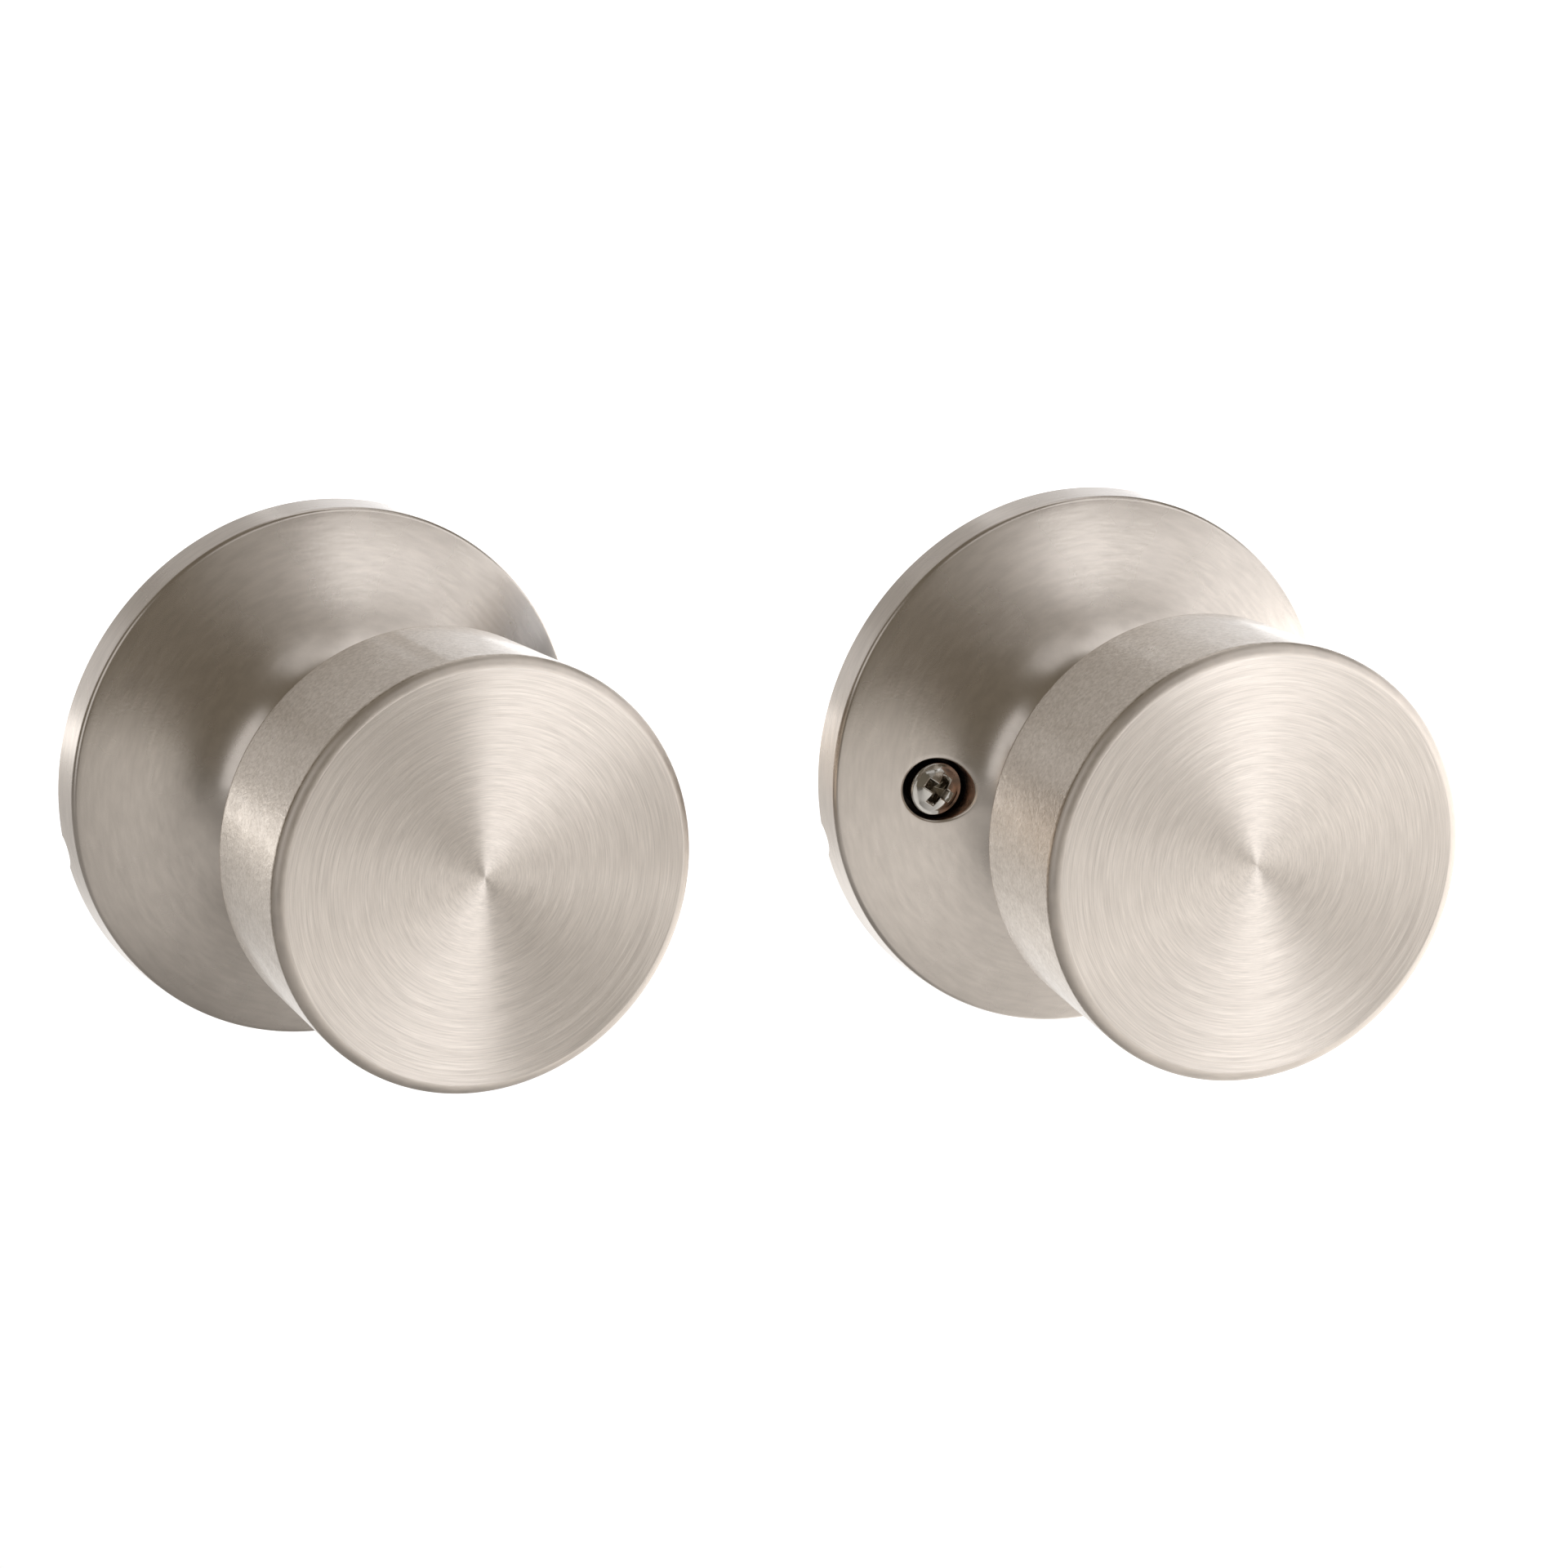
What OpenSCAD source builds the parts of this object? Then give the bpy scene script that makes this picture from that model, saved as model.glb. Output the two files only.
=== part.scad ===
// Passage door knob set: the outside half and the inside half, set out side by side.
// The origin is the centre of the outside rose's back face, where it meets the door.
// +Y points into the door, -Y to the user, +Z is up. Lengths are in millimetres.
// Each half is drawn along its own axis: z = 0 is the door's face, and +z points to the user.

/* [Layout] */
// Distance between the two knobs' axes, across the door
pair_gap = 87; // [75:1:140]
// How far the inside half stands in front of the outside half
pair_step = 34; // [0:1:60]

/* [Knob] */
// Radius of the knob at its front edge
knob_front_r = 27.5; // [26.5:0.1:29]
// Radius of the knob at its back edge
knob_back_r = 26.1; // [25.8:0.1:26.4]
// Height of the knob's back edge over the door
knob_back_z = 33; // [32:0.5:34]
// Height of the knob's front face over the door
knob_face_z = 54.5; // [50:0.5:60]
// Thickness of the drawn knob shell
knob_wall = 1; // [0.8:0.1:1]
// Rounding of the knob's front edge
front_edge_r = 1.5; // [0.8:0.1:3]
// Rounding of the knob's back edge
back_edge_r = 1; // [0.6:0.1:1.2]
// Radius of the neck that carries the knob
neck_r = 12; // [11.8:0.1:12.2]

/* [Rose] */
// Radius of the round cover on the door
rose_r = 33.5; // [33.3:0.1:34.5]
// Height of the rose's rim
rim_h = 5.2; // [4.5:0.1:6]
// Thickness of the rose's wall
rose_wall = 1.6; // [1.2:0.1:1.8]
// Radius of the rose where it meets the neck
throat_r = 13.8; // [13.4:0.1:14.2]
// Height of the top of the rose's throat
throat_z = 21; // [20.5:0.1:22]
// Direction of the prying notch, from 3 o'clock towards 12 o'clock
notch_angle = 193; // [170:1:200]

/* [Fixings] */
// Distance between the two mounting screws
screw_spacing = 43.2; // [42:0.1:43.4]
// Radius of the screws' thread
screw_r = 2.08; // [1.9:0.01:2.2]
// Length of the screws under the head
screw_length = 28.58; // [25:0.01:57.2]
// Width of the square spindle
spindle_w = 7.9; // [7.5:0.1:8.2]
// How far the spindle reaches behind the outside half
spindle_reach = 49; // [40:1:75]
// Radius of the ring that sits in the door's cross bore
locating_r = 26.6; // [26:0.1:26.9]

/* [Hidden] */
$fn = 96;
FIT = 0.05;
EPS = 0.01;

nickel = [0.70, 0.66, 0.61];
zinc = [0.72, 0.73, 0.74];
steel = [0.60, 0.61, 0.62];
spring_steel = [0.42, 0.43, 0.45];
nylon = [0.90, 0.89, 0.84];

// Knob
face_t = 1.2;
taper = atan((knob_front_r - knob_back_r) / (knob_face_z - knob_back_z));
lip_r = knob_back_r - 2.1;
flange_r = knob_back_r - knob_wall - 0.1;
flange_z = knob_back_z + knob_wall;
back_wall = 1;
neck_in_r = neck_r - back_wall;
neck_end_z = 18.5;
neck_top_z = 24;

// Shank and what is on it
shank_r = 8;
flat_w = 14;
shank_end_z = -7.5;
shank_top_z = 44;
socket_w = spindle_w + 0.2;
socket_end_z = 32;
pin_z = 40;
pin_r = 1.5;
ring_r = 7.2;
ring_z = -6.5;
ring_t = 1.1;
washer_t = 0.8;
washer_r = 11.6;

// Mounting plate
plate_z = 0.4;
plate_t = 2;
plate_top_z = plate_z + plate_t;
plate_r = 31.2;
hub_in_r = 10.5;
hub_r = 12.6;
hub_end_z = -4.4;
locating_end_z = -3;
locating_wall = 1.4;

// Bush, spring and cam
bush_top_z = 8.2;
bush_flange_r = 12.8;
bush_flange_t = 0.7;
cam_z = bush_top_z + 0.1;
cam_t = 1.6;
cam_r = 13.5;
cam_top_z = cam_z + cam_t;
stop_r = 16.4;
stop_in_r = 14.8;
stop_half = 12;
travel = 50;
wire_r = 0.55;
coil_r = 11.9;
coil_z = plate_top_z + bush_flange_t + wire_r + 0.15;
coil_pitch = 1.12;
leg_x = 10;
leg_length = 12;
leg_angle = atan(leg_x / coil_r);
lower_leg = 90 + leg_angle;
upper_leg = 270 - leg_angle;
coil_turn = 3 * 360 + upper_leg - lower_leg;
coil_top_z = coil_z + coil_pitch * coil_turn / 360;
jaw_along = 2.6;
jaw_across = 4;
jaw_slot = 1.3;

// Screws and posts
screw_x = screw_spacing / 2;
seat_z = 7.8;
head_r = 3.25;
head_edge = 1;
head_h = 2.5;
head_dome_r = (head_r * head_r + (head_h - head_edge) * (head_h - head_edge)) / (2 * (head_h - head_edge));
plain_r = 1.85;
plain_end_z = -2;
recess_w = 1.05;
recess_l = 4.3;
recess_d = 1.7;
recess_angle = 53;
boss_r = 5.6;
counterbore_r = 3.95;
gap_z = 5.6;
pad_r = 3;
screw_hole_r = 2.3;
post_r = 3.2;
post_bore_r = 2.1;
post_end_z = -18;
post_head_r = 4.2;
post_head_t = 1;
post_neck_r = 2.8;

// Points on a round arc about a centre, from angle a0 to angle a1
function arc(centre, r, a0, a1, steps = 8) =
    [for (i = [0:steps])
        let (a = a0 + (a1 - a0) * i / steps)
        centre + r * [cos(a), sin(a)]];

// Points on a cubic curve from p[0] to p[3], pulled towards p[1] and p[2]
function curve(p, steps = 18) =
    [for (i = [0:steps])
        let (t = i / steps, u = 1 - t)
        u * u * u * p[0] + 3 * u * u * t * p[1] + 3 * u * t * t * p[2] + t * t * t * p[3]];

function backwards(points) = [for (i = [len(points) - 1:-1:0]) points[i]];

// The outside half's axis is at the origin, and the inside half's is beside it
module outside_half()
    rotate([90, 0, 0]) children();

module inside_half()
    translate([pair_gap, -pair_step, 0]) rotate([90, 0, 0]) children();

// A child at both screw positions
module at_screws()
    for (side = [-1, 1]) translate([side * screw_x, 0, 0]) children();

module disc(r, z0, z1)
    translate([0, 0, z0]) cylinder(r = r, h = z1 - z0);

module ring(r, hole_r, z0, z1)
    difference() {
        disc(r, z0, z1);
        disc(hole_r, z0 - 1, z1 + 1);
    }

// ---- Rose: a die-cast bell that covers the mounting plate ----

rim_edge_r = 0.8;
bell_slope = 66;
rim_centre = [rose_r - rim_edge_r, rim_h - rim_edge_r];
bell_start = rim_centre + rim_edge_r * [cos(bell_slope), sin(bell_slope)];
bell_pull_rim = [23.4, 9.3];
bell_pull_throat = [13.9, 10.4];
throat_edge_r = 0.6;
pocket_r = plate_r + 0.2;
ledge_r = pocket_r - 0.8;
inner_start = [ledge_r, rim_h - 0.8];
inner_pull_rim = bell_pull_rim - rose_wall * [0.4, 0.92];
inner_pull_throat = bell_pull_throat - rose_wall * [0.88, 0.38];
hole_r = neck_r + 0.5;

function rose_outline() = concat(
    [[rose_r, 0]],
    arc(rim_centre, rim_edge_r, 0, bell_slope, 6),
    curve([bell_start, bell_pull_rim, bell_pull_throat, [throat_r, throat_z - throat_edge_r]], 24),
    arc([throat_r - throat_edge_r, throat_z - throat_edge_r], throat_edge_r, 0, 90, 4));

function rose_hollow() = concat(
    [[hole_r, throat_z], [hole_r, throat_z - 2]],
    backwards(curve([inner_start, inner_pull_rim, inner_pull_throat, [hole_r, throat_z - 2]])),
    [[ledge_r, plate_top_z], [pocket_r, plate_top_z], [pocket_r, 0]]);

module rose_shell()
    rotate_extrude() polygon(concat(rose_outline(), rose_hollow()));

module rose_solid()
    rotate_extrude() polygon(concat([[0, 0]], rose_outline(), [[0, throat_z]]));

// A scallop in the rim's back edge, for a flat blade
module pry_notch() {
    blade_r = 2.6;
    depth = 1.1;
    rotate([0, 0, notch_angle]) translate([rose_r, 0, depth - blade_r])
        rotate([0, 90, 0]) cylinder(r = blade_r, h = 6, center = true);
}

module plain_rose()
    difference() {
        rose_shell();
        pry_notch();
    }

// The inside rose has two bosses. In each, a raised pad seats a screw head, with a deep gap round it
module screwed_rose()
    difference() {
        union() {
            rose_shell();
            intersection() {
                rose_solid();
                at_screws() disc(boss_r, plate_top_z, throat_z);
            }
        }
        at_screws() disc(counterbore_r, seat_z, throat_z + 1);
        at_screws() ring(counterbore_r, pad_r, gap_z, seat_z + EPS);
        at_screws() disc(screw_hole_r, 0, throat_z);
        pry_notch();
    }

module outside_rose() color(nickel) outside_half() plain_rose();
module inside_rose() color(nickel) inside_half() screwed_rose();

// ---- Knob: a drawn shell hemmed over a stamped back, on a die-cast core ----

function shell_outline() = concat(
    [[0, knob_face_z]],
    arc([knob_front_r - front_edge_r, knob_face_z - front_edge_r], front_edge_r, 90, -taper),
    arc([knob_back_r - back_edge_r, knob_back_z + back_edge_r], back_edge_r, -taper, -90),
    [[lip_r, knob_back_z]]);

function shell_hollow() = [
    [lip_r, flange_z],
    [knob_back_r - knob_wall, flange_z],
    [knob_front_r - knob_wall - 0.2, knob_face_z - face_t - 1],
    [knob_front_r - knob_wall - 1.2, knob_face_z - face_t],
    [0, knob_face_z - face_t]];

module drawn_shell()
    rotate_extrude() polygon(concat(shell_outline(), shell_hollow()));

function back_curve(inset) = curve([
    [neck_r - inset, neck_top_z],
    [neck_r - inset, neck_top_z + 5],
    [neck_r + 4, flange_z - 2.4 + inset],
    [lip_r - 0.1, flange_z - 0.6 + inset]], 14);

module stamped_back()
    rotate_extrude() polygon(concat(
        [[neck_r, neck_end_z]],
        back_curve(0),
        [[lip_r - 0.1, flange_z], [flange_r, flange_z], [flange_r, flange_z + back_wall],
            [lip_r - 0.6, flange_z + back_wall]],
        backwards(back_curve(back_wall)),
        [[neck_in_r, neck_end_z]]));

// Double-D section of the shank's front, which keys the cam and the core
module keyed(z0, z1)
    intersection() {
        disc(shank_r, z0, z1);
        translate([-shank_r, -flat_w / 2, z0]) cube([2 * shank_r, flat_w, z1 - z0]);
    }

module cast_core() {
    nose_r = 10.2;
    web_z = flange_z + back_wall;
    web_t = 3;
    window_r = 4.2;
    window_at = 17.8;
    difference() {
        union() {
            disc(nose_r, cam_top_z, neck_end_z + EPS);
            disc(neck_in_r, neck_end_z, shank_top_z + 1);
            disc(flange_r - 0.1, web_z, web_z + web_t);
        }
        keyed(cam_top_z - 1, shank_top_z);
        for (a = [0:60:300])
            rotate([0, 0, a]) translate([window_at, 0, 0]) disc(window_r, web_z - 1, web_z + web_t + 1);
        pin_space();
    }
}

module pin_space()
    translate([0, 0, pin_z]) rotate([0, 90, 0])
        cylinder(r = pin_r, h = 2 * neck_in_r + 2, center = true);

// Slotted spring pin through the core and the solid end of the shank
module spring_pin() {
    pin_wall = 0.6;
    slit = 0.5;
    translate([0, 0, pin_z]) rotate([0, 90, 0]) difference() {
        cylinder(r = pin_r, h = 2 * neck_in_r - 1, center = true);
        cylinder(r = pin_r - pin_wall, h = 2 * neck_in_r + 1, center = true);
        translate([0, -slit / 2, -neck_in_r]) cube([pin_r + 1, slit, 2 * neck_in_r]);
    }
}

module drive_shank(bore_w)
    difference() {
        union() {
            disc(shank_r, shank_end_z, ring_z);
            disc(ring_r, ring_z - EPS, ring_z + ring_t + EPS);
            disc(shank_r, ring_z + ring_t, cam_z);
            keyed(cam_z - EPS, shank_top_z);
        }
        translate([-bore_w / 2, -bore_w / 2, shank_end_z - 1])
            cube([bore_w, bore_w, socket_end_z - shank_end_z + 1]);
        pin_space();
    }

module outside_knob_shell() color(nickel) outside_half() drawn_shell();
module inside_knob_shell() color(nickel) inside_half() drawn_shell();
module outside_knob_back() color(nickel) outside_half() stamped_back();
module inside_knob_back() color(nickel) inside_half() stamped_back();
module outside_knob_core() color(zinc) outside_half() cast_core();
module inside_knob_core() color(zinc) inside_half() cast_core();
module outside_core_pin() color(spring_steel) outside_half() spring_pin();
module inside_core_pin() color(spring_steel) inside_half() spring_pin();
module outside_shank() color(steel) outside_half() drive_shank(spindle_w);
module inside_shank() color(steel) inside_half() drive_shank(socket_w);

// ---- Mounting plate, with a hub for the bush, stops for the cam and a jaw for the spring ----

// A jaw that holds one leg of the spring in a slot along the leg, at angle a
module jaw(a, side, z0, z1, slot_z0, slot_z1)
    rotate([0, 0, a]) translate([coil_r, side * leg_x, 0]) difference() {
        translate([-jaw_across / 2, -jaw_along / 2, z0]) cube([jaw_across, jaw_along, z1 - z0]);
        translate([-jaw_slot / 2, -jaw_along, slot_z0]) cube([jaw_slot, 2 * jaw_along, slot_z1 - slot_z0]);
    }

// A sector of a ring, from angle a0 to angle a1
module sector(r0, r1, a0, a1, z0, z1)
    translate([0, 0, z0]) rotate([0, 0, a0])
        rotate_extrude(angle = a1 - a0) translate([r0, 0]) square([r1 - r0, z1 - z0]);

module pressed_plate(hole_r) {
    stop_a = stop_half + travel + 0.6;
    stop_width = 7;
    jaw_top_z = coil_z + wire_r + 0.4;
    difference() {
        union() {
            disc(plate_r, plate_z, plate_top_z);
            disc(hub_r, hub_end_z, plate_z + EPS);
            ring(locating_r, locating_r - locating_wall, locating_end_z, plate_z + EPS);
            for (side = [-1, 1])
                sector(stop_in_r, stop_r, 90 + side * (stop_a + stop_width / 2) - stop_width / 2,
                    90 + side * (stop_a + stop_width / 2) + stop_width / 2, plate_top_z - EPS, cam_top_z);
            jaw(lower_leg, -1, plate_top_z - EPS, jaw_top_z, coil_z - wire_r - 0.1, jaw_top_z + 1);
        }
        disc(hub_in_r, hub_end_z - 1, plate_top_z + 1);
        at_screws() disc(hole_r, plate_z - 1, plate_top_z + 1);
    }
}

// Nylon bush that the shank turns in, with a flange under the spring
module nylon_bush()
    difference() {
        union() {
            disc(hub_in_r, hub_end_z, bush_top_z);
            disc(bush_flange_r, plate_top_z, plate_top_z + bush_flange_t);
        }
        disc(shank_r + FIT, hub_end_z - 1, bush_top_z + 1);
    }

// The cam turns with the shank. Its ear meets the stops, and its jaw winds the spring
module cam_plate() {
    arm_w = 7;
    arm_end = 16.6;
    jaw_z = coil_top_z - wire_r - 0.3;
    difference() {
        union() {
            disc(cam_r, cam_z, cam_top_z);
            sector(cam_r - 1, stop_r, 90 - stop_half, 90 + stop_half, cam_z, cam_top_z);
            rotate([0, 0, 270]) translate([0, -arm_w / 2, cam_z]) cube([arm_end, arm_w, cam_t]);
            jaw(upper_leg, 1, jaw_z, cam_z + EPS, jaw_z - 1, cam_z - 0.1);
        }
        keyed(cam_z - 1, cam_top_z + 1);
    }
}

module washer()
    ring(washer_r, shank_r + 0.1, ring_z + ring_t, ring_z + ring_t + washer_t);

// Open ring in the shank's groove, with two ears for pliers
module circlip() {
    open_w = 4;
    ear_r = 1.5;
    ear_at = 9.6;
    ear_hole_r = 0.6;
    ear_a = 18;
    difference() {
        union() {
            ring(9.6, ring_r, ring_z, ring_z + ring_t);
            for (side = [-1, 1])
                rotate([0, 0, 90 + side * ear_a]) translate([ear_at, 0, 0])
                    disc(ear_r, ring_z, ring_z + ring_t);
        }
        translate([-open_w / 2, 0, ring_z - 1]) cube([open_w, 2 * ear_at, ring_t + 2]);
        for (side = [-1, 1])
            rotate([0, 0, 90 + side * ear_a]) translate([ear_at, 0, 0])
                disc(ear_hole_r, ring_z - 1, ring_z + ring_t + 1);
        disc(ring_r, ring_z - 1, ring_z + ring_t + 1);
    }
}

module outside_mounting_plate() color(steel) outside_half() pressed_plate(post_neck_r);
module inside_mounting_plate() color(steel) inside_half() pressed_plate(screw_hole_r);
module outside_bearing_bush() color(nylon) outside_half() nylon_bush();
module inside_bearing_bush() color(nylon) inside_half() nylon_bush();
module outside_drive_cam() color(steel) outside_half() cam_plate();
module inside_drive_cam() color(steel) inside_half() cam_plate();
module outside_wave_washer() color(spring_steel) outside_half() washer();
module inside_wave_washer() color(spring_steel) inside_half() washer();
module outside_snap_ring() color(spring_steel) outside_half() circlip();
module inside_snap_ring() color(spring_steel) inside_half() circlip();

// ---- Torsion spring: one round wire, wound round the bush with a straight leg at each end ----

wire_sides = 8;
coil_steps = 66;

// The wire's centre line: the lower leg's end, the coil, and the upper leg's end
function on_coil(a, z) = [coil_r * cos(a), coil_r * sin(a), z];
function along(a) = [-sin(a), cos(a), 0];
function wire_path() = concat(
    [on_coil(lower_leg, coil_z) - leg_length * along(lower_leg)],
    [for (i = [0:coil_steps])
        let (turn = coil_turn * i / coil_steps)
        on_coil(lower_leg + turn, coil_z + (coil_top_z - coil_z) * i / coil_steps)],
    [on_coil(upper_leg, coil_top_z) + leg_length * along(upper_leg)]);

// Direction of the wire in plan at each point of its centre line
function wire_heading(i) =
    i == 0 ? lower_leg
    : i > coil_steps ? upper_leg
    : lower_leg + coil_turn * (i - 1) / coil_steps;

// A ring of points round the centre line, square to the wire
function wire_ring(p, a) =
    [for (k = [0:wire_sides - 1])
        let (b = 360 * k / wire_sides)
        p + wire_r * (cos(b) * [cos(a), sin(a), 0] + sin(b) * [0, 0, 1])];

module torsion_spring() {
    path = wire_path();
    last = len(path) - 1;
    points = [for (i = [0:last]) each wire_ring(path[i], wire_heading(i))];
    sides = [for (i = [0:last - 1], k = [0:wire_sides - 1])
        let (n = (k + 1) % wire_sides, a = i * wire_sides, b = (i + 1) * wire_sides)
        [a + k, b + k, b + n, a + n]];
    first_end = [for (k = [0:wire_sides - 1]) k];
    last_end = [for (k = [wire_sides - 1:-1:0]) last * wire_sides + k];
    polyhedron(points = points, faces = concat(sides, [first_end, last_end]));
}

module outside_return_spring() color(spring_steel) outside_half() torsion_spring();
module inside_return_spring() color(spring_steel) inside_half() torsion_spring();

// ---- Spindle, posts and screws, which join the two halves through the door ----

module spindle() {
    tip = 1;
    color(steel) outside_half() intersection() {
        translate([-spindle_w / 2, -spindle_w / 2, -spindle_reach])
            cube([spindle_w, spindle_w, spindle_reach + socket_end_z]);
        rotate_extrude() polygon([[0, -spindle_reach], [spindle_w / 2, -spindle_reach],
            [spindle_w, -spindle_reach + 2 * tip], [spindle_w, socket_end_z], [0, socket_end_z]]);
    }
}

// Two threaded sleeves staked into the outside mounting plate
module mounting_posts()
    color(steel) outside_half() at_screws() difference() {
        union() {
            disc(post_r, post_end_z, plate_z);
            disc(post_neck_r, plate_z - EPS, plate_top_z + EPS);
            disc(post_head_r, plate_top_z, plate_top_z + post_head_t);
        }
        disc(post_bore_r, post_end_z - 1, plate_top_z + post_head_t + 1);
    }

module screw_head() {
    dome_centre = [0, head_h - head_dome_r];
    dome_angle = asin((head_edge - dome_centre[1]) / head_dome_r);
    rotate_extrude() polygon(concat(
        [[0, 0], [head_r, 0]],
        arc(dome_centre, head_dome_r, dome_angle, 90, 8)));
}

// Cross recess of the screw, turned as the screw was left
module cross_recess()
    for (a = [recess_angle, recess_angle + 90])
        rotate([0, 0, a]) translate([-recess_l / 2, -recess_w / 2, head_h - recess_d])
            cube([recess_l, recess_w, recess_d + 1]);

module mounting_screws() {
    tip_z = seat_z - screw_length;
    tip_taper = 1.2;
    color(zinc) inside_half() at_screws() {
        translate([0, 0, seat_z]) difference() {
            screw_head();
            cross_recess();
        }
        disc(plain_r, plain_end_z, seat_z);
        disc(screw_r, tip_z + tip_taper, plain_end_z);
        translate([0, 0, tip_z]) cylinder(r1 = screw_r - 0.7, r2 = screw_r, h = tip_taper);
    }
}

outside_rose();
outside_knob_shell();
outside_knob_back();
outside_knob_core();
outside_core_pin();
outside_shank();
outside_mounting_plate();
outside_bearing_bush();
outside_return_spring();
outside_drive_cam();
outside_wave_washer();
outside_snap_ring();
spindle();
mounting_posts();
inside_rose();
inside_knob_shell();
inside_knob_back();
inside_knob_core();
inside_core_pin();
inside_shank();
inside_mounting_plate();
inside_bearing_bush();
inside_return_spring();
inside_drive_cam();
inside_wave_washer();
inside_snap_ring();
mounting_screws();
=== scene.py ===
"""Looks for the passage door knob set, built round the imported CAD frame.

Each half is modelled in its own local frame: millimetres, x to the right, y up, and z out from the
door along the knob's axis. place() turns that into metres in the shared frame.
"""
import math

import bmesh
import bpy
import numpy as np
from mathutils import Matrix, Vector


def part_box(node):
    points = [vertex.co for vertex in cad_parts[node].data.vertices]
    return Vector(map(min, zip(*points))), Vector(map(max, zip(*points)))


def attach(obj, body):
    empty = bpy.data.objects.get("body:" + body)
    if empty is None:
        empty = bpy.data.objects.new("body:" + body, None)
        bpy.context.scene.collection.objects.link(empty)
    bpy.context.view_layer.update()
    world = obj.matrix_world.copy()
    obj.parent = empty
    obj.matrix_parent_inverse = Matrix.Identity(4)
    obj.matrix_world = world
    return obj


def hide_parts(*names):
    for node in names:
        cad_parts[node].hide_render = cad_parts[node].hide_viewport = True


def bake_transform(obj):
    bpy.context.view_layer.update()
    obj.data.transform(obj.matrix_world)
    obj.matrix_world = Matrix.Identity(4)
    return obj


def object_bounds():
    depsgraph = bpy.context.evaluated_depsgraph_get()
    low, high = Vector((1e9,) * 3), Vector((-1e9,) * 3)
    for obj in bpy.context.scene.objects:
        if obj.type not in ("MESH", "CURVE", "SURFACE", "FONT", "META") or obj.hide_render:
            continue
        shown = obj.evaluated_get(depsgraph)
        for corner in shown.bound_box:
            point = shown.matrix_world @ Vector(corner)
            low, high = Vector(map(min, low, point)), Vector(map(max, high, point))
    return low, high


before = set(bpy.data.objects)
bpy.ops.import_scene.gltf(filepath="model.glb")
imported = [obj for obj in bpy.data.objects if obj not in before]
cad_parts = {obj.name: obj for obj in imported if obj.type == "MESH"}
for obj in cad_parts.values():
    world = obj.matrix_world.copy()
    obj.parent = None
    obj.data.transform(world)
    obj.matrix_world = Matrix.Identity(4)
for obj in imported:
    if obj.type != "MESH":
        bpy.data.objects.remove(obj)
cad_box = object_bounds()

MM = 0.001
SIDES = ("outside", "inside")
TURNS = 256

# Rose
ROSE_R = 33.5
RIM_H = 5.2
RIM_EDGE_R = 0.8
RIM_SLOPE = 66
THROAT_R = 13.8
THROAT_Z = 21.0
THROAT_EDGE_R = 0.6
ROSE_HOLE_R = 12.5
POCKET_R = 31.4
LEDGE_R = 30.6
PLATE_TOP_Z = 2.4
# The last slot is painted shade: near-black colour for the deep parts of each screw hole.
BELL_SLOT, COPPER_SLOT, INSIDE_SLOT, HOLE_SHADE_SLOT = range(4)
NOTCH_ANGLE = math.radians(193)
NOTCH_BLADE_R = 2.6
NOTCH_DEPTH = 1.1

# Knob
KNOB_FRONT_R = 27.5
KNOB_BACK_R = 26.1
KNOB_BACK_Z = 33.0
KNOB_FACE_Z = 54.5
FRONT_EDGE_R = 1.5
BACK_EDGE_R = 1.0
LIP_R = 24.0
FLANGE_R = 25.0
FLANGE_Z = 34.0
SHELL_R = 26.3
SHELL_TOP_Z = 53.3
SHELL_EDGE_R = 1.0
TAPER = math.degrees(math.atan((KNOB_FRONT_R - KNOB_BACK_R) / (KNOB_FACE_Z - KNOB_BACK_Z)))
NECK_R = 12.0
NECK_END_Z = 18.5
NECK_FLARE_Z = 24.0
FACE_SLOT, EDGE_SLOT, SIDE_SLOT, HOLLOW_SLOT = range(4)

# Screws
SCREW_X = 21.6
SEAT_Z = 7.8
COUNTERBORE_R = 3.95
LIP_DEPTH = 0.4
GAP_Z = 5.6
PAD_R = 3.0
SCREW_HOLE_R = 2.3
BOSS_R = 5.6
HEAD_R = 3.35
HEAD_EDGE = 1.0
HEAD_EDGE_R = 0.3
HEAD_H = 2.5
DOME_R = 3.0
DOME_RISE = HEAD_H - HEAD_EDGE
DOME_CURVE_R = (HEAD_R ** 2 + DOME_RISE ** 2) / (2 * DOME_RISE)
CROSS_EDGE = (2.08, 0.73)
CROSS_RIM = (2.16, 0.80)
RECESS_DEPTH = 1.7
RECESS_RINGS = 5
SCREW_PLAIN_R = 1.85
THREAD_START_Z = -1.2
THREAD_R = 2.08
THREAD_DEPTH = 0.42
THREAD_PITCH = 0.79
ROWS_PER_PITCH = 10
TIP_Z = -20.78
# The recess slot carries painted shade: a dark brown colour inside the cross.
HEAD_SLOT, RECESS_SHADE_SLOT = range(2)

# Spring and washer
WIRE_R = 0.55
WIRE_SIDES = 14
COIL_R = 11.9
COIL_Z = 3.8
COIL_TOP_Z = 7.48
LEG_ANGLE = math.degrees(math.atan(10 / COIL_R))
LEG_LENGTH = 12.0
WASHER_Z = -5.0
WASHER_R = 11.6
WASHER_HOLE_R = 8.1
WASHER_HALF = 0.15
WASHER_WAVE = 0.24


# ---- Curves ----

def arc(centre, radius, a0, a1, steps):
    """Points on a round arc, from angle a0 to angle a1 in degrees."""
    out = []
    for i in range(steps + 1):
        a = math.radians(a0 + (a1 - a0) * i / steps)
        out.append((centre[0] + radius * math.cos(a), centre[1] + radius * math.sin(a)))
    return out


def line(p, q, steps):
    """Points from p to q, closer together near both ends."""
    out = []
    for i in range(steps + 1):
        t = 0.5 - 0.5 * math.cos(math.pi * i / steps)
        out.append((p[0] + (q[0] - p[0]) * t, p[1] + (q[1] - p[1]) * t))
    return out


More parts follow.
